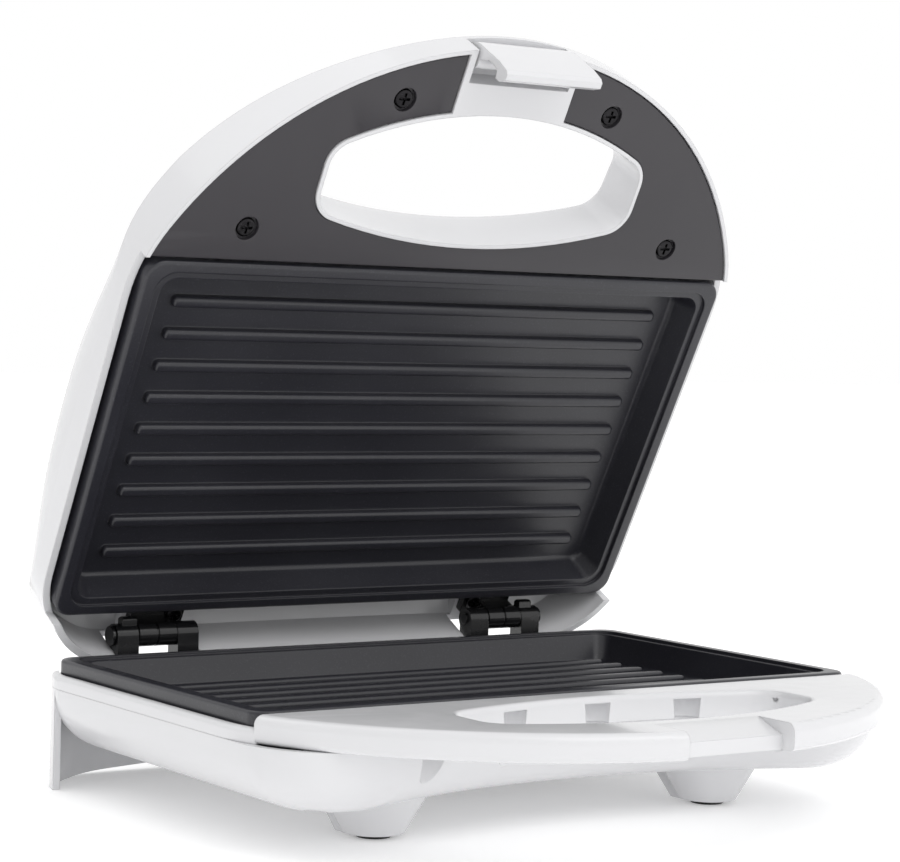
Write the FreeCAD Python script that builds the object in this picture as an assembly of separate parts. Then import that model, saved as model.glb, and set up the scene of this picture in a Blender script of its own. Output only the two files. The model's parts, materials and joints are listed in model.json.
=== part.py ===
import FreeCAD, Part
import os
from math import sqrt, sin, cos, tan, radians, degrees, atan2

os.makedirs("parts", exist_ok=True)
V = FreeCAD.Vector
X, Y, Z = V(1, 0, 0), V(0, 1, 0), V(0, 0, 1)

# Panini press, millimetres.  Modelled with the lid shut, x = 0 on the plane of
# symmetry, y = 0 at the middle of the grill plates and z = 0 on the rim of the
# lower plate.  finish() opens the lid and stands the whole on z = 0.

# ---- driving dimensions ----
PLATE_W, PLATE_D = 230.0, 133.2       # rim of a grill plate
PLATE_H = 13.5                        # rim to underside
PLATE_R = 6.5                         # plate corner
PLATE_T = 2.4                         # cast wall
BASIN_MARGIN = 6.6                    # rim width
BASIN_DEPTH, BASIN_SLOPE = 11.0, 3.4
RIB_COUNT, RIB_PITCH = 9, 11.9
RIB_LEN, RIB_W, RIB_H = 195.3, 4.0, 2.6
PLATE_GAP = 0.9                       # between the rims when shut
RIM_Z = 42.5                          # lower rim above the table
REST_OPEN, MAX_OPEN = 61.6, 105.0     # lid angle at rest and at its stop
WALL = 2.5                            # moulded wall
CLEAR = 0.1                           # seat of one part on another
SEAM = 0.03                           # closed joint between two shells
RUN = 0.05                            # radial play of a turning pin

# ---- sizes that follow ----
FRONT, REAR = -PLATE_D / 2, PLATE_D / 2
HALF_W = PLATE_W / 2 + 4.0
ARCH_R = HALF_W + 7.2                 # plan radius of the handle arch
ARCH_CY = FRONT + 45.3
NOSE_Y = ARCH_CY - ARCH_R             # front of both handles
SHOULDER_R = 60.0
REAR_R = 32.0
REAR_Y = REAR + 18.4
STEP_Y = FRONT - 1.0                  # plate meets handle
HINGE_Y, HINGE_Z = REAR + 11.4, 4.8
BARREL_R = 4.0
BODY_BOTTOM = -29.3
BODY_R = 20.0                         # bottom edge of the base
SEAM_Z = -9.0                         # underside of the handle band
SIDE_RIM_Z = -4.5
DECK_Z = -0.5
SHELF_Z = -6.6                        # trough under the hinge
LID_RIM_Z = 5.0
LIP_Z = 1.0                           # underside of the lid handle
APRON_Z = -2.5
LENS_W = 61.6                         # half width of the finger opening
LENS_FRONT, LENS_REAR = FRONT - 57.4, FRONT - 10.7
LENS_RF, LENS_RR = 128.0, 200.0
LENS_TIP_R = 9.0
BLOCK_W = 22.0                        # half width of the latch block
LATCH_W = 18.7
LATCH_Y, LATCH_Z, LATCH_R = NOSE_Y + 6.0, 3.4, 5.8
LEDGE_Y = NOSE_Y + 6.8                # catch face in the base band
HINGE_X = (57.0, 65.0, 80.0, 88.0)    # knuckle ends
SKIRT_T, SKIRT_Y = 2.5, REAR - 8.0
FOOT_X, FOOT_Y = 65.5, -53.0
FOOT_R, FOOT_TOP_R, FOOT_H = 9.5, 17.0, 1.5


# ---- helpers ----
def arc(a, b, c):
    return Part.Arc(V(*a, 0), V(*b, 0), V(*c, 0)).toShape()


def line(a, b):
    return Part.makeLine(V(*a, 0), V(*b, 0))


def face(edges):
    return Part.Face(Part.Wire(Part.__sortEdges__(edges)))


def prism(flat, z0, z1):
    low = flat.copy()
    low.translate(V(0, 0, z0))
    return low.extrude(V(0, 0, z1 - z0))


def box(x0, x1, y0, y1, z0, z1):
    return Part.makeBox(x1 - x0, y1 - y0, z1 - z0, V(x0, y0, z0))


def cyl(r, h, x, y, z, d=Z):
    return Part.makeCylinder(r, h, V(x, y, z), d)


def side_prism(pts, x0, x1):
    """Extrude a closed outline of (y, z) points along x."""
    wire = Part.makePolygon([V(x0, y, z) for y, z in pts + pts[:1]])
    return Part.Face(wire).extrude(V(x1 - x0, 0, 0))


def rounded(hx, y0, y1, z0, z1, r):
    solid = box(-hx, hx, y0, y1, z0, z1)
    return solid.makeFillet(r, [e for e in solid.Edges if upright(e)])


def upright(e):
    b = e.BoundBox
    return b.XLength < 1e-6 and b.YLength < 1e-6


def fillet(solid, radii, pick):
    """Round the picked edges with the largest radius that holds."""
    edges = [e for e in solid.Edges if pick(e, e.BoundBox)]
    for r in radii:
        try:
            out = solid.makeFillet(r, edges)
            if out.isValid() and 0 < out.Volume < solid.Volume * 1.02 and len(out.Solids) == 1:
                return out
        except Exception:
            pass
    return solid


def one(shape):
    shape = shape.removeSplitter()
    return shape.Solids[0] if len(shape.Solids) == 1 else shape


def mirrored(shape):
    return shape.mirror(V(0, 0, 0), X)


def both(shape):
    return shape.fuse(mirrored(shape))


def upside(shape):
    """Turn a lower-plate part over into the lid."""
    return shape.mirror(V(0, 0, PLATE_GAP / 2), Z)


# ---- plan outlines ----
def outline(inset=0.0):
    hw, big, sh = HALF_W - inset, ARCH_R - inset, SHOULDER_R - inset
    rr, ry = REAR_R - inset, REAR_Y - inset
    sx = HALF_W - SHOULDER_R
    sy = ARCH_CY - sqrt((ARCH_R - SHOULDER_R) ** 2 - sx ** 2)
    away = sqrt(sx ** 2 + (sy - ARCH_CY) ** 2)
    ux, uy = sx / away, (sy - ARCH_CY) / away
    p1 = (ux * big, ARCH_CY + uy * big)
    p2, p3, p4 = (hw, sy), (hw, ry - rr), (hw - rr, ry)
    m = sqrt((ux + 1) ** 2 + uy ** 2)
    ms = (sx + (ux + 1) / m * sh, sy + uy / m * sh)
    mr = (hw - rr + rr * sqrt(0.5), ry - rr + rr * sqrt(0.5))
    f = lambda p: (-p[0], p[1])
    return face([arc(p1, ms, p2), line(p2, p3), arc(p3, mr, p4), line(p4, f(p4)), arc(f(p4), f(mr), f(p3)),
                 line(f(p3), f(p2)), arc(f(p2), f(ms), f(p1)), arc(f(p1), (0, ARCH_CY - big), p1)])


def lens(out=0.0):
    """Finger opening; out widens it by that much all round."""
    rf, rr, w = LENS_RF + out, LENS_RR + out, LENS_W + out
    cf, cr = LENS_FRONT + LENS_RF, LENS_REAR - LENS_RR
    front = lambda x: cf - sqrt(rf ** 2 - x ** 2)
    rear = lambda x: cr + sqrt(rr ** 2 - x ** 2)
    return face([arc((-w, front(w)), (0, front(0)), (w, front(w))), line((w, front(w)), (w, rear(w))),
                 arc((w, rear(w)), (0, rear(0)), (-w, rear(w))), line((-w, rear(w)), (-w, front(w)))])


def lens_prism(z0, z1, out=0.0):
    solid = prism(lens(out), z0, z1)
    return solid.makeFillet(LENS_TIP_R + out, [e for e in solid.Edges if upright(e)])


BIG = 300.0


def south(shape, y):
    return shape.common(box(-BIG, BIG, -BIG, y, -BIG, BIG))


def north(shape, y):
    return shape.common(box(-BIG, BIG, y, BIG, -BIG, BIG))


# ---- grill plate, facing up ----
def grill_plate():
    hx, hy = PLATE_W / 2, PLATE_D / 2
    pan = rounded(hx, -hy, hy, -PLATE_H, 0, PLATE_R)
    pan = fillet(pan, (1.2, 0.8), lambda e, b: b.ZMin > -1e-6)
    bx, by = hx - BASIN_MARGIN, hy - BASIN_MARGIN + 0.6
    fx, fy = bx - BASIN_SLOPE, by - BASIN_SLOPE

    def ring(x, y, z, r):
        s = rounded(x, -y, y, z, z + 1, r)
        return [f for f in s.Faces if f.BoundBox.ZMax < z + 1e-6][0].OuterWire

    basin = Part.makeLoft([ring(fx, fy, -BASIN_DEPTH, 4.0), ring(bx, by, 0.01, 6.0)], True, True)
    basin = fillet(basin, (2.0, 1.5, 1.0), lambda e, b: b.ZMax < -BASIN_DEPTH + 0.01)
    ledge = rounded(bx + 2.2, -by - 2.2, by + 2.2, -1.1, 1, 7.0)
    floor = -BASIN_DEPTH - PLATE_T
    under = rounded(hx - PLATE_T, -hy + PLATE_T, hy - PLATE_T, -PLATE_H - 1, -1.1 - PLATE_T, 3.0)
    grow = Part.makeLoft([ring(fx + PLATE_T, fy + PLATE_T, floor, 5.0),
                          ring(bx + PLATE_T, by + PLATE_T, 0.01, 7.0)], True, True)
    pan = pan.cut(under.cut(grow)).cut(basin).cut(ledge)
    rib = box(-RIB_LEN / 2, RIB_LEN / 2, -RIB_W / 2, RIB_W / 2, -BASIN_DEPTH - 0.5, -BASIN_DEPTH + RIB_H)
    rib = fillet(rib, (1.6, 1.4, 1.0), lambda e, b: upright(e))
    rib = fillet(rib, (1.4, 1.1, 0.8), lambda e, b: b.ZMin > -BASIN_DEPTH + RIB_H - 0.01)
    for i in range(RIB_COUNT):
        r = rib.copy()
        r.translate(V(0, (i - (RIB_COUNT - 1) / 2) * RIB_PITCH, 0))
        pan = pan.fuse(r)
    return pan


POST_X, POST_Y, POST_R = PLATE_W / 2 - 27.0, PLATE_D / 2 - 24.6, 4.5
POSTS = [(sx * POST_X, sy * POST_Y) for sx in (-1, 1) for sy in (-1, 1)]


def screw(x, y, z, head_r, head_h, shank_r, length, up=True):
    """Cross-head screw; z is the face under the head."""
    s = 1 if up else -1
    head = cyl(head_r, head_h, x, y, z if up else z - head_h)
    rim = z + s * head_h
    head = fillet(head, (head_h * 0.6, 0.4), lambda e, b: abs(b.ZMin - rim) < 1e-6 and abs(b.ZMax - rim) < 1e-6)
    z0, z1 = sorted((rim - s * head_h * 0.75, rim + s))
    a, w = head_r * 0.62, head_r * 0.14
    head = head.cut(box(x - a, x + a, y - w, y + w, z0, z1)).cut(box(x - w, x + w, y - a, y + a, z0, z1))
    return head.fuse(cyl(shank_r, length, x, y, z - length if up else z))


def compound(shapes):
    return Part.makeCompound([s for shape in shapes for s in shape.Solids])


# ---- heating parts, facing up ----
TUBE_R = 3.2
TUBE_Z = -PLATE_H - TUBE_R - RUN
TUBE_X, TUBE_Y = PLATE_W / 2 - 41.0, PLATE_D / 2 - 28.6
SHIELD_Z = TUBE_Z - TUBE_R - 0.3


def element():
    """U-shaped sheathed tube with its two ends at the rear."""
    r, in_x = 14.0, 26.0
    pts = [V(in_x, TUBE_Y + 14, TUBE_Z), V(in_x, TUBE_Y, TUBE_Z), V(TUBE_X, TUBE_Y, TUBE_Z),
           V(TUBE_X, -TUBE_Y, TUBE_Z), V(-TUBE_X, -TUBE_Y, TUBE_Z), V(-TUBE_X, TUBE_Y, TUBE_Z),
           V(-in_x, TUBE_Y, TUBE_Z), V(-in_x, TUBE_Y + 14, TUBE_Z)]
    edges, last = [], pts[0]
    for i in range(1, len(pts) - 1):
        p = pts[i]
        a, b = (pts[i - 1] - p).normalize(), (pts[i + 1] - p).normalize()
        rr = 6.0 if i in (1, len(pts) - 2) else r
        s, e = p + a * rr, p + b * rr
        mid = p + (a + b) * rr - (a + b).normalize() * rr
        edges += [Part.makeLine(last, s), Part.Arc(s, mid, e).toShape()]
        last = e
    edges.append(Part.makeLine(last, pts[-1]))
    path = Part.Wire(edges)
    ring = Part.Wire(Part.makeCircle(TUBE_R, pts[0], Y))
    tube = path.makePipeShell([ring], True, False)
    for x in (-in_x, in_x):
        tube = tube.fuse(cyl(2.0, 8.0, x, TUBE_Y + 13, TUBE_Z, Y))
    return tube


def shield(thermostat_hole=False):
    """Folded sheet under the element, with an upturned edge."""
    hx, hy = TUBE_X + 12.0, TUBE_Y + 17.0
    pan = rounded(hx, -hy, hy, SHIELD_Z - 0.8, -PLATE_H - 1.2, 6.0)
    pan = pan.cut(rounded(hx - 0.8, -hy + 0.8, hy - 0.8, SHIELD_Z, 0, 5.2))
    for x, y in POSTS:
        pan = pan.cut(cyl(POST_R + 1.0, 40, x, y, -35))
    for i in range(-3, 4):
        pan = pan.cut(box(i * 20 - 6, i * 20 + 6, -12, -8, -40, 0))
    for x in (-26, 26):
        pan = pan.cut(box(x - 4, x + 4, hy - 3, hy + 3, SHIELD_Z, 0))
    if thermostat_hole:
        pan = pan.cut(cyl(10.2, 20, 0, 12, -40))
    return pan


def clamps():
    """Straps that hold the tube against the plate."""
    out = []
    for x in (-TUBE_X / 2, 0, TUBE_X / 2):
        r = TUBE_R + RUN
        arch = cyl(r + 1.0, 8, x - 4, -TUBE_Y, TUBE_Z, X)
        arch = arch.fuse(box(x - 4, x + 4, -TUBE_Y - r - 7, -TUBE_Y + r + 7, -PLATE_H - 1.1, -PLATE_H - RUN))
        arch = arch.cut(cyl(r, 10, x - 5, -TUBE_Y, TUBE_Z, X))
        arch = arch.cut(box(x - 5, x + 5, -TUBE_Y - r, -TUBE_Y + r, TUBE_Z, 0))
        arch = arch.common(box(x - 5, x + 5, -BIG, BIG, SHIELD_Z + 0.05, -PLATE_H - RUN))
        out.append(arch)
    return out


# ---- base ----
FRONT_WALL_R, FRONT_CORNER_R = 194.0, 30.0


def front_wall_y(x, inset=0.0):
    return LENS_REAR + 1.5 + inset - FRONT_WALL_R + sqrt(FRONT_WALL_R ** 2 - x ** 2)


def body_prism(inset, z0, z1):
    """Lower body in plan: hollowed front wall behind the finger opening, round corners."""
    hw, ry = HALF_W - inset, REAR_Y - inset
    yf = front_wall_y(hw, inset)
    solid = prism(face([arc((-hw, yf), (0, front_wall_y(0, inset)), (hw, yf)), line((hw, yf), (hw, ry)),
                        line((hw, ry), (-hw, ry)), line((-hw, ry), (-hw, yf))]), z0, z1)
    solid = solid.makeFillet(FRONT_CORNER_R - inset, [e for e in solid.Edges if upright(e) and e.BoundBox.YMax < 0])
    return solid.makeFillet(REAR_R - inset, [e for e in solid.Edges if upright(e) and e.BoundBox.YMin > REAR_Y - 5
                                             and abs(e.BoundBox.Center.x) > hw - 1])


def flutes(grow=0.0, z1=SEAM_Z):
    out = []
    for x, top, low in ((-67, 6.5, 3.0), (-33.5, 5.0, 2.4), (0, 5.0, 2.4), (33.5, 5.0, 2.4), (67, 6.5, 3.0)):
        y = front_wall_y(x) - 0.5
        out.append(Part.makeCone(low + grow, top + grow, z1 - BODY_BOTTOM + 2, V(x, y, BODY_BOTTOM - 2), Z))
    return out


def base_body():
    solid = body_prism(0, BODY_BOTTOM, SEAM_Z - SEAM)
    low = lambda e, b: b.ZMax < BODY_BOTTOM + 1e-6
    solid = fillet(solid, (BODY_R, BODY_R - 2, 15.0, 12.0, 8.0), low)
    t = WALL
    inner = body_prism(t, BODY_BOTTOM + t, 0)
    inner = fillet(inner, (BODY_R - t, BODY_R - t - 2, 12.0, 9.0, 5.0),
                   lambda e, b: b.ZMax < BODY_BOTTOM + t + 1e-6)
    for c in flutes(2.2):
        inner = inner.cut(c)
    skirt = prism(outline(), -RIM_Z, SEAM_Z - SEAM).cut(prism(outline(SKIRT_T), -60, 0))
    skirt = north(skirt, SKIRT_Y)
    rise = 4.2
    w = HALF_W - 15.0
    arch = Part.Face(Part.Wire([
        Part.Arc(V(-w, SKIRT_Y, -RIM_Z), V(0, SKIRT_Y, -RIM_Z + rise), V(w, SKIRT_Y, -RIM_Z)).toShape(),
        Part.makeLine(V(w, SKIRT_Y, -RIM_Z), V(w, SKIRT_Y, -60)),
        Part.makeLine(V(w, SKIRT_Y, -60), V(-w, SKIRT_Y, -60)),
        Part.makeLine(V(-w, SKIRT_Y, -60), V(-w, SKIRT_Y, -RIM_Z))])).extrude(V(0, 60, 0))
    skirt = skirt.cut(arch)
    feet = []
    for s in (-1, 1):
        cone = Part.makeCone(FOOT_R, FOOT_TOP_R, BODY_BOTTOM + RIM_Z - FOOT_H + 1.5,
                             V(s * FOOT_X, FOOT_Y, -RIM_Z + FOOT_H), Z)
        ramp = side_prism([(FOOT_Y, -RIM_Z + FOOT_H), (FOOT_Y + FOOT_R, -RIM_Z + FOOT_H),
                           (FOOT_Y + FOOT_R + 15, BODY_BOTTOM + 1.5), (FOOT_Y, BODY_BOTTOM + 1.5)],
                          s * FOOT_X - FOOT_R, s * FOOT_X + FOOT_R)
        ramp = fillet(ramp, (2.5, 1.5, 1.0), lambda e, b: b.YMin > FOOT_Y + FOOT_R - 1 and b.XLength < 1)
        foot = cone.fuse(ramp)
        feet.append(foot.common(prism(outline(1.0), -60, BODY_BOTTOM + 12)))
    solid = solid.cut(inner)
    for extra in feet + [skirt]:
        solid = solid.fuse(extra)
    for c in flutes():
        solid = solid.cut(c)
    return solid


def base_housing():
    solid = base_body()
    floor = BODY_BOTTOM + WALL
    for x, y in POSTS:
        solid = solid.fuse(cyl(POST_R, -PLATE_H - CLEAR - floor + 0.5, x, y, floor - 0.5))
        solid = solid.cut(cyl(1.65, 60, x, y, -60)).cut(cyl(3.4, 12.6, x, y, BODY_BOTTOM - 10))
    for s in (-1, 1):
        solid = solid.cut(cyl(3.1, 7, s * FOOT_X, FOOT_Y, -RIM_Z))
    for x, y in DECK_SCREWS:
        solid = solid.fuse(cyl(4.0, SEAM_Z - SEAM - floor + 0.5, x, y, floor - 0.5))
        solid = solid.cut(cyl(1.65, 60, x, y, -60)).cut(cyl(3.3, 10, x, y, BODY_BOTTOM - 6))
    # vents in the floor and the cord hole in the rear wall
    for i in range(-4, 5):
        solid = solid.cut(rounded(1.6, -16, 16, -60, floor + 1, 1.5).translated(V(i * 11, 4, 0)))
    solid = solid.cut(cyl(CORD_HOLE_R, 20, CORD_X, REAR_Y - 10, CORD_Z, Y))
    return one(solid)


DECK_SCREWS = [(s * x, y) for s in (-1, 1) for x, y in ((HALF_W - 19.5, FRONT - 8.0), (HALF_W - 20.0, REAR + 5.6))]
CORD_X, CORD_Z, CORD_HOLE_R, CORD_R = 40.0, -18.0, 6.0, 3.6


def base_deck():
    top = prism(outline(), SEAM_Z, DECK_Z)
    top = south(top, STEP_Y)
    top = fillet(top, (3.0, 2.4, 1.6), lambda e, b: b.ZMin > DECK_Z - 1e-6 and b.YMin < STEP_Y - 5)
    top = fillet(top, (2.0, 1.6, 1.2), lambda e, b: b.ZMax < SEAM_Z + 1e-6 and b.YMin < STEP_Y - 5)
    top = top.cut(lens_prism(-20, 5))
    top = fillet(top, (2.0, 1.6, 1.0), lambda e, b: b.ZMin > DECK_Z - 1e-6 and abs(b.Center.x) < LENS_W + 1
                 and b.YMax < LENS_REAR + 2 and b.YMin > LENS_FRONT - 2)
    t = WALL - 0.1
    hollow = south(prism(outline(t), SEAM_Z - 1, DECK_Z - t), STEP_Y - t).cut(lens_prism(-30, 5, t))
    hollow = hollow.cut(box(-BLOCK_W, BLOCK_W, -BIG, LENS_FRONT, -30, 0))
    grooves = flutes(0, DECK_Z - 2.2)
    for c in flutes(2.2, DECK_Z - 1.0):
        hollow = hollow.cut(c)
    deck = top.cut(hollow)
    for c in grooves:
        deck = deck.cut(c)
    # seat of the latch: flat catch face with a sloping run-in
    w = LATCH_W + 0.9
    deck = deck.cut(box(-w, w, -BIG, LEDGE_Y, -30, 5))
    deck = deck.cut(side_prism([(LEDGE_Y - 1, -4.5), (LEDGE_Y, -4.5), (LEDGE_Y + 11, DECK_Z + 0.01),
                                (LEDGE_Y + 11, 5), (LEDGE_Y - 1, 5)], -w, w))
    # side and rear band
    ring = prism(outline(), SEAM_Z, SIDE_RIM_Z)
    ring = ring.cut(prism(outline(t), -20, 5))
    ring = fillet(ring, (1.8, 1.4, 1.0), lambda e, b: b.ZMin > SIDE_RIM_Z - 1e-6
                  and b.XLength + b.YLength > 10 and (b.XMax > HALF_W - 0.1 or b.XMin < -HALF_W + 0.1))
    ring = north(ring, STEP_Y - 0.5)
    shelf = north(prism(outline(), SEAM_Z, SHELF_Z), REAR + 0.8)
    ring = ring.cut(box(-BIG, BIG, REAR + 0.8, BIG, SHELF_Z, 5))
    deck = deck.fuse(ring).fuse(shelf)
    for x, y in DECK_SCREWS:
        if y < 0:
            deck = deck.fuse(cyl(5.2, DECK_Z - 1.0 - SEAM_Z, x, y, SEAM_Z))
        deck = deck.cut(cyl(1.55, 1.9, x, y, SEAM_Z - 0.1))
    deck = deck.cut(rounded(PLATE_W / 2 + 0.4, FRONT - 0.4, REAR + 0.4, -40, 5, PLATE_R))
    return one(deck)


def handle_cover():
    """Plate that closes the hollow underside of the base handle."""
    cover = prism(outline(WALL), SEAM_Z, SEAM_Z + 1.4).cut(lens_prism(-30, 5, WALL))
    cover = south(cover, STEP_Y - WALL)
    cover = cover.cut(body_prism(-0.15, -20, 10))
    cover = cover.cut(box(-BLOCK_W - 0.1, BLOCK_W + 0.1, -BIG, LENS_FRONT + 3, -30, 0))
    for x, y in DECK_SCREWS:
        cover = cover.cut(cyl(5.4, 20, x, y, -20))
    for c in flutes(2.4, DECK_Z - 1.0):
        cover = cover.cut(c)
    return compound([s for s in cover.Solids if s.Volume > 300])


def deck_screws():
    seat = BODY_BOTTOM + 4.0
    return compound([screw(x, y, seat, 3.0, 1.8, 1.5, SEAM_Z + 1.5 - seat, False) for x, y in DECK_SCREWS])


def plate_screws():
    return compound([screw(x, y, BODY_BOTTOM + 2.6, 3.0, 1.8, 1.5, -PLATE_H + 1.2 - BODY_BOTTOM - 2.6, False)
                     for x, y in POSTS])


def front_foot(s):
    tip = cyl(5.6, FOOT_H - CLEAR, s * FOOT_X, FOOT_Y, -RIM_Z)
    tip = fillet(tip, (0.5, 0.3), lambda e, b: b.ZMax < -RIM_Z + 1e-6)
    return tip.fuse(cyl(3.0, 6.0, s * FOOT_X, FOOT_Y, -RIM_Z + 0.5))


# ---- hinge ----
def base_hinge():
    """Left bracket: two knuckles on a foot that sits in the trough."""
    x = [-v for v in HINGE_X]
    foot_z = SHELF_Z + CLEAR
    out = box(x[3], x[0], HINGE_Y - 5.5, HINGE_Y + 3.5, foot_z, foot_z + 1.2)
    for a, b in ((x[3], x[2]), (x[1], x[0])):
        out = out.fuse(box(a, b, HINGE_Y - BARREL_R, HINGE_Y + BARREL_R * 0.8, foot_z, HINGE_Z))
        out = out.fuse(cyl(BARREL_R, b - a, a, HINGE_Y, HINGE_Z, X))
    horn = box(x[3] + 2.5, x[2], HINGE_Y - 2.2, HINGE_Y + 1.2, HINGE_Z, HINGE_Z + 6.4)
    out = out.fuse(fillet(horn, (1.2, 0.8), lambda e, b: b.ZMin > HINGE_Z + 6.3))
    return one(out.cut(cyl(2.0 + RUN, 60, x[3] - 5, HINGE_Y, HINGE_Z, X)))


def hinge_pin():
    x0, x1 = -HINGE_X[3] - 1.2, -HINGE_X[0] + 0.6
    pin = cyl(2.0, x1 - x0, x0, HINGE_Y, HINGE_Z, X)
    head = cyl(3.4, 1.1, x0 - 0.2, HINGE_Y, HINGE_Z, X)
    return pin.fuse(fillet(head, (0.4,), lambda e, b: b.XMax < x0))


ARM_Z = HINGE_Z + 6.4                 # pad of the lid bracket
ARM_Y = HINGE_Y - 3.5


def lid_hinge():
    x0, x1 = -HINGE_X[2] + 0.4, -HINGE_X[1] - 0.4
    out = cyl(BARREL_R + 0.2, x1 - x0, x0, HINGE_Y, HINGE_Z, X)
    out = out.cut(cyl(BARREL_R + 1, 0.8, (x0 + x1) / 2 - 0.4, HINGE_Y, HINGE_Z, X).cut(
        cyl(BARREL_R - 0.3, 0.8, (x0 + x1) / 2 - 0.4, HINGE_Y, HINGE_Z, X)))
    web = box(x0 + 0.6, x1 - 0.6, HINGE_Y - 3.2, HINGE_Y + 2.6, HINGE_Z, ARM_Z + 1)
    pad = box(x0 + 0.3, x1 + 6.5, ARM_Y - 6.5, ARM_Y + 6.0, ARM_Z, ARM_Z + 3.0)
    pad = fillet(pad, (2.0, 1.5), lambda e, b: upright(e))
    out = out.fuse(web).fuse(pad)
    out = out.cut(cyl(2.0 + RUN, 60, -HINGE_X[3] - 5, HINGE_Y, HINGE_Z, X))
    sx = x1 + 2.4
    out = out.cut(cyl(1.75, 20, sx, ARM_Y, ARM_Z - 5))
    return one(out)


LID_SCREW_X = HINGE_X[1] + 0.4 - 2.4


def hinge_screws():
    left = screw(-LID_SCREW_X, ARM_Y, ARM_Z, 3.0, 1.6, 1.6, 9.0, False)
    return compound([left, mirrored(left)])


# ---- lid ----
def dome_section(y, top, inset=0.0):
    """Cross-section of the dome at y: upright sides, elliptical shoulders, slight crown."""
    hw, top = HALF_W + 0.25 - inset, top - inset
    a = 19.5 - inset * 0.5
    b = max(top - 9.0, 3.5)
    zc, z0 = top - b, -8.0
    pts = [V(-hw + a - a * cos(radians(t)), y, zc + b * sin(radians(t))) for t in (0, 15, 30, 45, 60, 75, 90)]
    curve = Part.BSplineCurve()
    curve.interpolate(pts, InitialTangent=V(0, 0, 1) * b, FinalTangent=V(1, 0, 0.035) * a)
    right = Part.BSplineCurve()
    right.interpolate([V(-p.x, p.y, p.z) for p in reversed(pts)],
                      InitialTangent=V(1, 0, -0.035) * a, FinalTangent=V(0, 0, -1) * b)
    crown = Part.Arc(pts[-1], V(0, y, zc + b + CROWN), V(-pts[-1].x, y, pts[-1].z))
    return Part.Wire([Part.makeLine(V(-hw, y, z0), pts[0]), curve.toShape(), crown.toShape(), right.toShape(),
                      Part.makeLine(V(hw, y, zc), V(hw, y, z0)), Part.makeLine(V(hw, y, z0), V(-hw, y, z0))])


CROWN = 1.0
DOME = [(NOSE_Y - 14, 8.5), (NOSE_Y + 4, 10.6), (NOSE_Y + 20, 14.5), (NOSE_Y + 42, 18.8), (FRONT - 14, 21.5), (FRONT, 25.0),
        (FRONT + 22, 33.5), (FRONT + 46, 41.2), (5, 43.4), (REAR - 34, 40.6), (REAR - 14, 33.0),
        (REAR + 2, 25.5), (REAR + 14, 18.5), (REAR + 28, 12.0)]


def dome(inset=0.0):
    return Part.makeLoft([dome_section(y, top, inset) for y, top in DOME], True, False)


def dome_top(y):
    for (y0, t0), (y1, t1) in zip(DOME, DOME[1:]):
        if y0 <= y <= y1:
            return t0 + (t1 - t0) * (y - y0) / (y1 - y0)
    return DOME[-1][1]


INSERT_Z0, INSERT_Z1 = 1.5, 4.4
INSERT_LIP = 1.4
INSERT_SCREWS = [(-41.0, FRONT - 60.1), (41.0, FRONT - 60.1), (-84.0, FRONT - 12.4), (84.0, FRONT - 12.4)]


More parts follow.
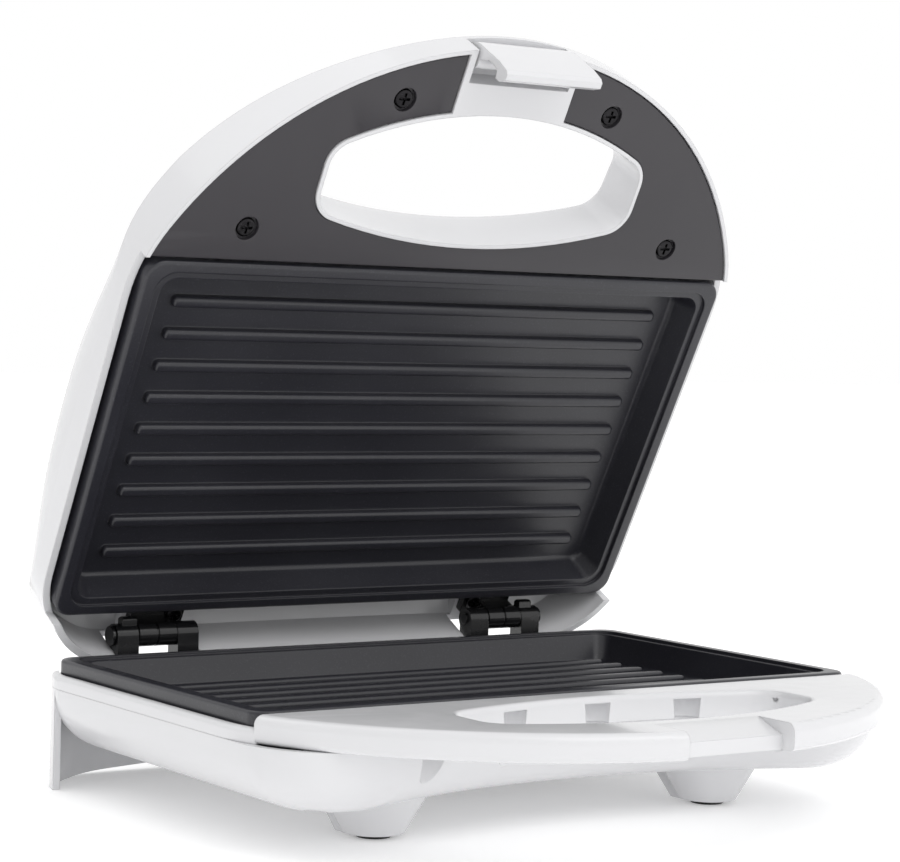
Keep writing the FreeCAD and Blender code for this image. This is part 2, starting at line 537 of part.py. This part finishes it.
def lid_housing():
    outer = dome().common(prism(outline(), APRON_Z, 70))
    outer = fillet(outer, (5.0, 4.0, 3.0, 2.0), lambda e, b: b.ZMin > 7 and b.YMax < FRONT and e.Length > 20
                   and b.YMin < FRONT - 20)
    t = WALL
    inner_dome = dome(t)
    keep = outer.copy()
    outer = outer.cut(box(-BIG, BIG, -BIG, STEP_Y, -BIG, LIP_Z))
    outer = outer.cut(box(-BIG, BIG, STEP_Y - 0.01, REAR + 0.8, -BIG, LID_RIM_Z))
    room = prism(outline(t), -10, 70)
    main = north(inner_dome.common(room), STEP_Y + 0.2)
    outer = outer.cut(main)
    # handle: recess for the dark insert, hollow above it, finger opening
    block = box(-BLOCK_W, BLOCK_W, -BIG, LENS_FRONT + 3, -BIG, BIG)
    seat = south(prism(outline(INSERT_LIP), -10, INSERT_Z1 + CLEAR), STEP_Y + 0.5)
    seat = seat.cut(lens_prism(-20, 20, INSERT_LIP)).cut(block)
    hollow = south(inner_dome.common(prism(outline(INSERT_LIP + 1.6), 0, 70)), STEP_Y - WALL)
    hollow = hollow.cut(lens_prism(-20, 60, INSERT_LIP + 1.6)).cut(block)
    bosses = []
    for x, y in INSERT_SCREWS:
        bosses.append(cyl(4.0, 40, x, y, INSERT_Z1 + CLEAR))
    for b in bosses:
        hollow = hollow.cut(b)
    outer = outer.cut(seat).cut(hollow).cut(lens_prism(-20, 60))
    outer = fillet(outer, (2.0, 1.5, 1.0), lambda e, b: b.ZMin > 8 and b.YMax < LENS_REAR + 1
                   and b.YMin > LENS_FRONT - 1 and abs(b.Center.x) < LENS_W + 1 and e.Length > 6)
    for x, y in INSERT_SCREWS:
        outer = outer.cut(cyl(1.5, 8.0, x, y, INSERT_Z1))
    # latch recess
    w = LATCH_W + 0.9
    outer = outer.cut(box(-w, w, -BIG, LATCH_Y + 7.0, -5, LATCH_Z + LATCH_R + 0.25))
    outer = outer.cut(cyl(1.2 + RUN, 2 * BLOCK_W - 1.6, -BLOCK_W + 0.8, LATCH_Y, LATCH_Z, X))
    # posts that take the studs of the upper plate, and pads for the hinge brackets
    back = PLATE_GAP + PLATE_H + CLEAR
    for x, y in POSTS:
        post = cyl(POST_R, 60, x, y, back).common(keep)
        outer = outer.fuse(post)
        outer = outer.cut(cyl(2.0 + CLEAR, 8.5, x, y, back - 1))
    for s in (-1, 1):
        x0, x1 = sorted((s * (HINGE_X[2] + 1.5), s * (HINGE_X[1] - 7.5)))
        pad = box(x0, x1, ARM_Y - 5.5, REAR_Y, ARM_Z + 3.0 + CLEAR, 60).common(keep)
        outer = outer.fuse(pad)
        outer = outer.cut(box(x0 - 6.5, x1 + 2.0, REAR, REAR_Y + 5, -10, ARM_Z + 3.0 + CLEAR)
                          if s < 0 else box(x0 - 2.0, x1 + 6.5, REAR, REAR_Y + 5, -10, ARM_Z + 3.0 + CLEAR))
        outer = outer.cut(cyl(1.65, 9.6, s * LID_SCREW_X, ARM_Y, ARM_Z))
    for x in LENSES:
        outer = outer.cut(cyl(LENS_DOT_R + CLEAR, 30, x, LAMP_Y, 20))
    return one(outer)


LENSES = (-9.0, 9.0)
LAMP_Y, LENS_DOT_R = FRONT + 16.0, 3.2


def indicator(x):
    top = dome_top(LAMP_Y) + CROWN
    s = cyl(LENS_DOT_R, 6.0, x, LAMP_Y, top - 5.0)
    s = fillet(s, (1.0, 0.6), lambda e, b: b.ZMin > top + 0.9)
    return s.fuse(cyl(LENS_DOT_R + 1.2, 1.6, x, LAMP_Y, top - 6.4))


def lamp_holder():
    top = dome_top(LAMP_Y) + CROWN - 6.5
    s = box(-16, 16, LAMP_Y - 5, LAMP_Y + 5, top - 2.4, top - 0.1)
    for x in LENSES:
        s = s.fuse(cyl(3.4, 2.4, x, LAMP_Y, top - 3.2))
    return s


def lid_insert():
    solid = prism(outline(INSERT_LIP + 0.15), INSERT_Z0, INSERT_Z1)
    solid = south(solid, STEP_Y - 0.1)
    solid = solid.cut(lens_prism(-20, 20, INSERT_LIP + 0.15))
    solid = solid.cut(box(-BLOCK_W - 0.15, BLOCK_W + 0.15, -BIG, LENS_FRONT + 3, -10, 10))
    solid = fillet(solid, (0.5, 0.4, 0.3), lambda e, b: b.ZMax < INSERT_Z0 + 1e-6)
    for x, y in INSERT_SCREWS:
        solid = solid.cut(cyl(4.1, 2.6, x, y, 0.5)).cut(cyl(1.7, 10, x, y, 0))
    return one(solid)


def insert_screws():
    return compound([screw(x, y, 3.1, 3.3, 1.3, 1.4, 8.0, False) for x, y in INSERT_SCREWS])


def upper_plate():
    solid = upside(grill_plate())
    back = PLATE_GAP + PLATE_H
    for x, y in POSTS:
        solid = solid.fuse(cyl(2.0, 7.8, x, y, back - 0.6))
    return one(solid)


def lower_plate():
    solid = grill_plate()
    for x, y in POSTS:
        solid = solid.cut(cyl(1.5 + RUN, 3.0, x, y, -PLATE_H - 1.5))
    return one(solid)


# ---- latch ----
def latch():
    y0 = LATCH_Y - LATCH_R
    low = SEAM_Z - 6.5
    w = LATCH_W
    shell = cyl(LATCH_R, 2 * w, -w, LATCH_Y, LATCH_Z, X)
    shell = shell.cut(cyl(LATCH_R - 2.6, 2 * w + 2, -w - 1, LATCH_Y, LATCH_Z, X))
    shell = shell.common(box(-BIG, BIG, -BIG, LATCH_Y + 2.4, LATCH_Z, BIG))
    grip = side_prism([(y0, LATCH_Z), (y0 + 0.3, SEAM_Z), (y0 + 1.2, low + 1.2), (y0 + 2.2, low), (y0 + 4.2, low),
                       (y0 + 6.0, SEAM_Z - 3.4), (y0 + 6.0, SEAM_Z - 1.2), (y0 + 3.2, SEAM_Z - 0.6),
                       (y0 + 2.6, SEAM_Z + 2), (y0 + 2.6, LATCH_Z)], -w, w)
    out = shell.fuse(grip)
    hub = cyl(2.6, 2 * w, -w, LATCH_Y, LATCH_Z, X)
    out = out.fuse(hub)
    for x in (-w, -1.2, w - 2.4):
        web = side_prism([(y0 + 1, LATCH_Z), (LATCH_Y, LATCH_Z - 2.0), (LATCH_Y + 1, LATCH_Z + LATCH_R - 1),
                          (LATCH_Y - 4, LATCH_Z + 4)], x, x + 2.4)
        web = web.common(cyl(LATCH_R - 0.5, 2 * w, -w, LATCH_Y, LATCH_Z, X))
        toe = side_prism([(y0 + 1, LATCH_Z), (LATCH_Y - 1.0, LATCH_Z - 2.3), (y0 + 2.4, LATCH_Z - 8)], x, x + 2.4)
        out = out.fuse(web).fuse(toe)
    out = out.cut(cyl(1.2 + RUN, 2 * w + 2, -w - 1, LATCH_Y, LATCH_Z, X))
    return one(out)


def latch_pin():
    return cyl(1.2, 2 * BLOCK_W - 2.0, -BLOCK_W + 1.0, LATCH_Y, LATCH_Z, X)


# ---- electrical parts in the base ----
def thermostat():
    z = -PLATE_H - RUN
    body = cyl(8.0, 6.4, 0, 12, z - 7.6).fuse(cyl(9.4, 1.2, 0, 12, z - 1.2))
    for x in (-4, 4):
        body = body.fuse(box(x - 0.4, x + 0.4, 9, 15, z - 9.4, z - 7))
    return body


def thermal_fuse():
    z = -PLATE_H - 2.6
    fuse_body = cyl(2.5, 14, 26, 10, z, X)
    return fuse_body.fuse(cyl(0.7, 26, 20, 10, z, X))


def terminal_block():
    floor = BODY_BOTTOM + WALL + CLEAR
    block = box(56, 84, REAR - 10.4, REAR - 0.6, floor, floor + 9)
    for i in range(3):
        block = block.cut(cyl(2.0, 6, 61 + 9 * i, REAR - 5.5, floor + 5))
        block = block.cut(cyl(1.4, 20, 61 + 9 * i, REAR - 14, floor + 3.4, Y))
    return block


def cord_grommet():
    r, y0 = CORD_HOLE_R - CLEAR, REAR_Y - 6.0
    out = cyl(r, 7.0, CORD_X, y0, CORD_Z, Y)
    out = out.fuse(cyl(r + 1.8, 1.3, CORD_X, REAR_Y + CLEAR, CORD_Z, Y))
    return out.cut(cyl(CORD_R, 20, CORD_X, y0 - 6, CORD_Z, Y))


# ---- place and export ----
BASE = {
    "base_housing": base_housing(), "base_deck": base_deck(), "base_handle_cover": handle_cover(), "lower_grill_plate": lower_plate(),
    "lower_heating_element": element(), "lower_heat_shield": shield(True),
    "lower_element_clamps": compound(clamps()), "lower_plate_screws": plate_screws(),
    "deck_screws": deck_screws(), "front_foot_left": front_foot(-1), "front_foot_right": front_foot(1),
    "base_hinge_left": base_hinge(), "base_hinge_right": mirrored(base_hinge()),
    "hinge_pin_left": hinge_pin(), "hinge_pin_right": mirrored(hinge_pin()),
    "thermostat": thermostat(), "thermal_fuse": thermal_fuse(), "terminal_block": terminal_block(),
    "cord_grommet": cord_grommet(),
}
LID = {
    "lid_housing": lid_housing(), "lid_handle_insert": lid_insert(), "insert_screws": insert_screws(),
    "upper_grill_plate": upper_plate(), "upper_heating_element": upside(element()),
    "upper_heat_shield": upside(shield()), "upper_element_clamps": compound([upside(c) for c in clamps()]),
    "lid_hinge_left": lid_hinge(), "lid_hinge_right": mirrored(lid_hinge()), "lid_hinge_screws": hinge_screws(),
    "indicator_lens_power": indicator(LENSES[0]), "indicator_lens_ready": indicator(LENSES[1]),
    "lamp_holder": lamp_holder(), "latch_pin": latch_pin(), "latch_clip": latch(),
}

for shape in LID.values():
    shape.rotate(V(0, HINGE_Y, HINGE_Z), X, -REST_OPEN)
rear_most = max(p.y for p in LID["lid_housing"].tessellate(0.3)[0])
SHIFT = V(0, -(NOSE_Y + rear_most) / 2, RIM_Z)
for name, shape in list(BASE.items()) + list(LID.items()):
    shape.translate(SHIFT)
    if not shape.isValid():
        print("invalid:", name)
    shape.exportStep("parts/" + name + ".step")
print("shift y %.3f" % SHIFT.y)
for tag, y, z in (("hinge", HINGE_Y, HINGE_Z), ("latch", LATCH_Y, LATCH_Z)):
    p = V(0, y, z)
    if tag == "latch":
        a = radians(REST_OPEN)
        dy, dz = y - HINGE_Y, z - HINGE_Z
        p = V(0, HINGE_Y + dy * cos(a) + dz * sin(a), HINGE_Z - dy * sin(a) + dz * cos(a))
    print(tag, "axis at", round(p.y + SHIFT.y, 3), round(p.z + SHIFT.z, 3))
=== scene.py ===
import json
import math

import bpy
from mathutils import Matrix, Vector


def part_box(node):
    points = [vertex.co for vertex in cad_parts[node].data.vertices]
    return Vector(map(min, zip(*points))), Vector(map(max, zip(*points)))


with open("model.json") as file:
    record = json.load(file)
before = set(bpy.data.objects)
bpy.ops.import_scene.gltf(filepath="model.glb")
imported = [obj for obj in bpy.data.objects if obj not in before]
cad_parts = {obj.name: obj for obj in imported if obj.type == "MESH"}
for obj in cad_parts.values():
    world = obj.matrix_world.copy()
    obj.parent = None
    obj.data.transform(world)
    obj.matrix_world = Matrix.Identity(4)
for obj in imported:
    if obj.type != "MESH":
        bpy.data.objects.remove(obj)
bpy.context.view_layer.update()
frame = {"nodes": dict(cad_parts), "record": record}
NODES = frame["nodes"]

MM = 0.001
SMOOTH_ANGLE = math.radians(28)

# ---- camera, from the middle of the lower plate's rim ----
CAMERA_FROM_PLATE = Vector((-495.3, -717.3, 111.6)) * MM
CAMERA_YAW, CAMERA_DOWN, CAMERA_ROLL = -34.34, 2.22, 1.57
FOCAL_MM, SENSOR_MM = 105.1, 36.0

# ---- light ----
TARGET = (0, 0, 0.1)
SKY_LEFT, SKY = 0.72, 1.0             # world strength on the left and elsewhere
KEY_WATTS, TOP_WATTS = 12, 4
FLOOR_SIZE, FLOOR_GLOW = 12.0, 0.22
WELD = 2e-6                           # joins a CAD mesh's doubled corners, metres


# ---- node helpers ----
def new_material(name):
    mat = bpy.data.materials.new(name)
    mat.use_nodes = True
    tree = mat.node_tree
    return mat, tree, tree.nodes["Principled BSDF"]


def noise(tree, scale, detail):
    coords = tree.nodes.get("Object coordinates") or tree.nodes.new("ShaderNodeTexCoord")
    coords.name = "Object coordinates"
    node = tree.nodes.new("ShaderNodeTexNoise")
    node.inputs["Scale"].default_value = scale
    node.inputs["Detail"].default_value = detail
    tree.links.new(coords.outputs["Object"], node.inputs["Vector"])
    return node.outputs["Fac"]


def spread(tree, source, low, high, start=0.35, end=0.65):
    """Map a 0 to 1 pattern onto low to high."""
    node = tree.nodes.new("ShaderNodeMapRange")
    for name, value in (("From Min", start), ("From Max", end), ("To Min", low), ("To Max", high)):
        node.inputs[name].default_value = value
    tree.links.new(source, node.inputs["Value"])
    return node.outputs["Result"]


def blend_colours(tree, factor, a, b):
    """Mix two colours, each a plain colour or the output of another node."""
    node = tree.nodes.new("ShaderNodeMix")
    node.data_type = "RGBA"
    for key, colour in (("A", a), ("B", b)):
        if isinstance(colour, tuple):
            node.inputs[key].default_value = (*colour, 1)
        else:
            tree.links.new(colour, node.inputs[key])
    tree.links.new(factor, node.inputs["Factor"])
    return node.outputs["Result"]


def bumps(tree, shader, layers, edge=0.0):
    """Stack (pattern, strength, height in metres) bumps on a softened edge of that radius."""
    normal = None
    if edge:
        bevel = tree.nodes.new("ShaderNodeBevel")
        bevel.samples = 6
        bevel.inputs["Radius"].default_value = edge
        normal = bevel.outputs["Normal"]
    for pattern, strength, height in layers:
        bump = tree.nodes.new("ShaderNodeBump")
        bump.inputs["Strength"].default_value = strength
        bump.inputs["Distance"].default_value = height
        tree.links.new(pattern, bump.inputs["Height"])
        if normal is not None:
            tree.links.new(normal, bump.inputs["Normal"])
        normal = bump.outputs["Normal"]
    tree.links.new(normal, shader.inputs["Normal"])


# ---- materials ----
def moulded_plastic(name, colour, shade, rough, edge, peel=0.10, coat=0.0):
    """Glossy moulding: faint flow marks in the colour, a trace of orange peel, uneven gloss."""
    mat, tree, shader = new_material(name)
    flow = noise(tree, 14, 2)
    tree.links.new(blend_colours(tree, spread(tree, flow, 0, 1, 0.3, 0.7), colour, shade),
                   shader.inputs["Base Color"])
    gloss = noise(tree, 60, 4)
    tree.links.new(spread(tree, gloss, rough[0], rough[1]), shader.inputs["Roughness"])
    shader.inputs["IOR"].default_value = 1.5
    shader.inputs["Coat Weight"].default_value = coat
    shader.inputs["Coat Roughness"].default_value = 0.08
    bumps(tree, shader, [(noise(tree, 420, 2), peel, 0.00006), (noise(tree, 2600, 2), peel * 0.6, 0.00002)], edge)
    return mat


def non_stick(name):
    """Sprayed non-stick coat on cast metal: fine grain, faint clouds and pale flecks."""
    mat, tree, shader = new_material(name)
    cloud = noise(tree, 22, 1)
    base = blend_colours(tree, spread(tree, cloud, 0, 1, 0.2, 0.8),
                         (0.0160, 0.0158, 0.0215), (0.0250, 0.0250, 0.0320))
    fleck = spread(tree, noise(tree, 1500, 1), 0, 0.6, 0.58, 0.80)
    tree.links.new(blend_colours(tree, fleck, base, (0.055, 0.056, 0.066)), shader.inputs["Base Color"])
    tree.links.new(spread(tree, noise(tree, 30, 1), 0.28, 0.37, 0.2, 0.8), shader.inputs["Roughness"])
    shader.inputs["IOR"].default_value = 1.55
    bumps(tree, shader, [(noise(tree, 900, 1), 0.10, 0.00003), (noise(tree, 160, 1), 0.05, 0.0001)], 0.0007)
    return mat


def metal(name, colour, rough, streak=(1, 1, 1), worn=(0.05, 0.05, 0.05)):
    """Drawn or rolled metal: streaks along one direction and dull patches."""
    mat, tree, shader = new_material(name)
    shader.inputs["Metallic"].default_value = 1.0
    coords = tree.nodes.new("ShaderNodeTexCoord")
    stretch = tree.nodes.new("ShaderNodeMapping")
    stretch.inputs["Scale"].default_value = streak
    grain = tree.nodes.new("ShaderNodeTexNoise")
    grain.inputs["Scale"].default_value = 900
    tree.links.new(coords.outputs["Object"], stretch.inputs["Vector"])
    tree.links.new(stretch.outputs["Vector"], grain.inputs["Vector"])
    patch = spread(tree, noise(tree, 70, 4), 0, 1)
    tree.links.new(blend_colours(tree, patch, colour, tuple(c - w for c, w in zip(colour, worn))),
                   shader.inputs["Base Color"])
    tree.links.new(spread(tree, grain.outputs["Fac"], rough[0], rough[1]), shader.inputs["Roughness"])
    bumps(tree, shader, [(grain.outputs["Fac"], 0.12, 0.00004)], 0.0002)
    return mat


def rubber(name):
    mat, tree, shader = new_material(name)
    dust = spread(tree, noise(tree, 240, 5), 0, 1, 0.4, 0.75)
    tree.links.new(blend_colours(tree, dust, (0.012, 0.012, 0.012), (0.035, 0.034, 0.033)),
                   shader.inputs["Base Color"])
    tree.links.new(spread(tree, noise(tree, 500, 3), 0.55, 0.8), shader.inputs["Roughness"])
    bumps(tree, shader, [(noise(tree, 1300, 3), 0.3, 0.0001)], 0.0004)
    return mat


def ceramic(name):
    mat, tree, shader = new_material(name)
    spot = spread(tree, noise(tree, 900, 3), 0, 1, 0.45, 0.75)
    tree.links.new(blend_colours(tree, spot, (0.74, 0.7, 0.6), (0.62, 0.57, 0.47)), shader.inputs["Base Color"])
    tree.links.new(spread(tree, noise(tree, 300, 2), 0.5, 0.7), shader.inputs["Roughness"])
    bumps(tree, shader, [(noise(tree, 1100, 3), 0.25, 0.0001)], 0.0003)
    return mat


def tinted_lens(name, colour, deep):
    mat, tree, shader = new_material(name)
    tree.links.new(blend_colours(tree, spread(tree, noise(tree, 400, 2), 0, 1), colour, deep),
                   shader.inputs["Base Color"])
    shader.inputs["Transmission Weight"].default_value = 0.55
    tree.links.new(spread(tree, noise(tree, 700, 2), 0.06, 0.16), shader.inputs["Roughness"])
    bumps(tree, shader, [(noise(tree, 1600, 1), 0.1, 0.00003)], 0.0003)
    return mat


FINISH = {
    "shell_white": moulded_plastic("white_plastic", (0.735, 0.735, 0.75), (0.71, 0.71, 0.725), (0.18, 0.26),
                                   0.0006, coat=0.25),
    "insert_dark": moulded_plastic("dark_plastic", (0.037, 0.0340, 0.0395), (0.032, 0.0295, 0.0345), (0.30, 0.38),
                                   0.0004, peel=0.22),
    "plate_coating": non_stick("non_stick_coat"),
    "steel": metal("sheath_steel", (0.48, 0.46, 0.44), (0.28, 0.45), (1, 12, 12), (0.12, 0.14, 0.16)),
    "aluminium_sheet": metal("aluminium_sheet", (0.78, 0.78, 0.79), (0.3, 0.42), (1, 20, 20)),
    "screw_black": metal("black_oxide", (0.035, 0.034, 0.036), (0.25, 0.4), worn=(0.015, 0.015, 0.015)),
    "screw_zinc": metal("zinc_plate", (0.62, 0.62, 0.58), (0.22, 0.36)),
    "hinge_black": moulded_plastic("hinge_plastic", (0.008, 0.008, 0.009), (0.013, 0.013, 0.014), (0.16, 0.28),
                                   0.0004, peel=0.2, coat=0.2),
    "rubber_black": rubber("foot_rubber"),
    "ceramic": ceramic("ceramic"),
    "lens_red": tinted_lens("red_lens", (0.7, 0.03, 0.02), (0.5, 0.015, 0.01)),
    "lens_green": tinted_lens("green_lens", (0.04, 0.55, 0.1), (0.02, 0.38, 0.06)),
}


# ---- CAD nodes: shared vertices, smooth faces up to SMOOTH_ANGLE, new finishes ----
def smoothing_group():
    group = bpy.data.node_groups.new("smooth_by_angle", "GeometryNodeTree")
    group.interface.new_socket("Geometry", in_out="INPUT", socket_type="NodeSocketGeometry")
    group.interface.new_socket("Geometry", in_out="OUTPUT", socket_type="NodeSocketGeometry")
    n = group.nodes
    start, end = n.new("NodeGroupInput"), n.new("NodeGroupOutput")
    weld = n.new("GeometryNodeMergeByDistance")
    weld.inputs["Distance"].default_value = WELD
    plain = n.new("GeometryNodeRemoveAttribute")
    plain.inputs["Name"].default_value = "custom_normal"
    faces = n.new("GeometryNodeSetShadeSmooth")
    edges = n.new("GeometryNodeSetShadeSmooth")
    edges.domain = "EDGE"
    angle = n.new("GeometryNodeInputMeshEdgeAngle")
    flat = n.new("FunctionNodeCompare")
    flat.data_type, flat.operation = "FLOAT", "LESS_THAN"
    flat.inputs["B"].default_value = SMOOTH_ANGLE
    link = group.links.new
    link(start.outputs[0], plain.inputs["Geometry"])
    link(plain.outputs["Geometry"], weld.inputs["Geometry"])
    link(weld.outputs["Geometry"], faces.inputs["Geometry"])
    link(faces.outputs["Geometry"], edges.inputs["Geometry"])
    link(angle.outputs["Unsigned Angle"], flat.inputs["A"])
    link(flat.outputs["Result"], edges.inputs["Shade Smooth"])
    link(edges.outputs["Geometry"], end.inputs[0])
    return group


SMOOTH = smoothing_group()
SLOT_OF = {s["node"]: s["material_slot"] for s in frame["record"]["subparts"]}
for name, obj in NODES.items():
    modifier = obj.modifiers.new("smooth", "NODES")
    modifier.node_group = SMOOTH
    finish = FINISH[SLOT_OF[name]]
    if not obj.material_slots:
        obj.data.materials.append(finish)
    for slot in obj.material_slots:
        slot.material = finish


# ---- floor, light and camera ----
def floor():
    mesh = bpy.data.meshes.new("floor")
    s = FLOOR_SIZE / 2
    mesh.from_pydata([(-s, -s, 0), (s, -s, 0), (s, s, 0), (-s, s, 0)], [], [(0, 1, 2, 3)])
    obj = bpy.data.objects.new("floor", mesh)
    bpy.context.collection.objects.link(obj)
    mat, tree, shader = new_material("paper")
    tree.links.new(blend_colours(tree, noise(tree, 3, 2), (0.93, 0.93, 0.93), (0.95, 0.95, 0.95)),
                   shader.inputs["Base Color"])
    shader.inputs["Roughness"].default_value = 0.9
    shader.inputs["Specular IOR Level"].default_value = 0.1
    shader.inputs["Emission Color"].default_value = (1, 1, 1, 1)
    shader.inputs["Emission Strength"].default_value = FLOOR_GLOW
    mesh.materials.append(mat)


def softbox(name, place, side, watts):
    data = bpy.data.lights.new(name, "AREA")
    data.shape, data.size = "SQUARE", side
    data.energy = watts
    obj = bpy.data.objects.new(name, data)
    obj.location = place
    obj.rotation_euler = (Vector(TARGET) - Vector(place)).to_track_quat("-Z", "Y").to_euler()
    bpy.context.collection.objects.link(obj)


def sky():
    world = bpy.data.worlds.new("studio")
    bpy.context.scene.world = world
    world.use_nodes = True
    tree = world.node_tree
    background = tree.nodes["Background"]
    background.inputs["Color"].default_value = (1, 1, 1, 1)
    # a little darker on the left of the object, which shades its sides
    coords = tree.nodes.new("ShaderNodeTexCoord")
    split = tree.nodes.new("ShaderNodeSeparateXYZ")
    tree.links.new(coords.outputs["Generated"], split.inputs["Vector"])
    tree.links.new(spread(tree, split.outputs["X"], SKY_LEFT, SKY, -0.9, 0.25), background.inputs["Strength"])


def camera():
    lower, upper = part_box("lower_grill_plate")
    plate = (Vector(lower) + Vector(upper)) / 2
    plate.z = Vector(upper).z
    data = bpy.data.cameras.new("camera")
    data.lens, data.sensor_width = FOCAL_MM, SENSOR_MM
    data.clip_start, data.clip_end = 0.05, 60
    obj = bpy.data.objects.new("camera", data)
    turn = (Matrix.Rotation(math.radians(CAMERA_YAW), 4, "Z")
            @ Matrix.Rotation(math.radians(90 - CAMERA_DOWN), 4, "X")
            @ Matrix.Rotation(math.radians(CAMERA_ROLL), 4, "Z"))
    obj.matrix_world = Matrix.Translation(plate + CAMERA_FROM_PLATE) @ turn
    bpy.context.collection.objects.link(obj)
    bpy.context.scene.camera = obj


floor()
sky()
softbox("key", (0.2, -1.5, 1.9), 1.6, KEY_WATTS)
softbox("top", (-0.5, 0.9, 1.9), 1.4, TOP_WATTS)
camera()
bpy.context.scene.view_settings.view_transform = "Standard"
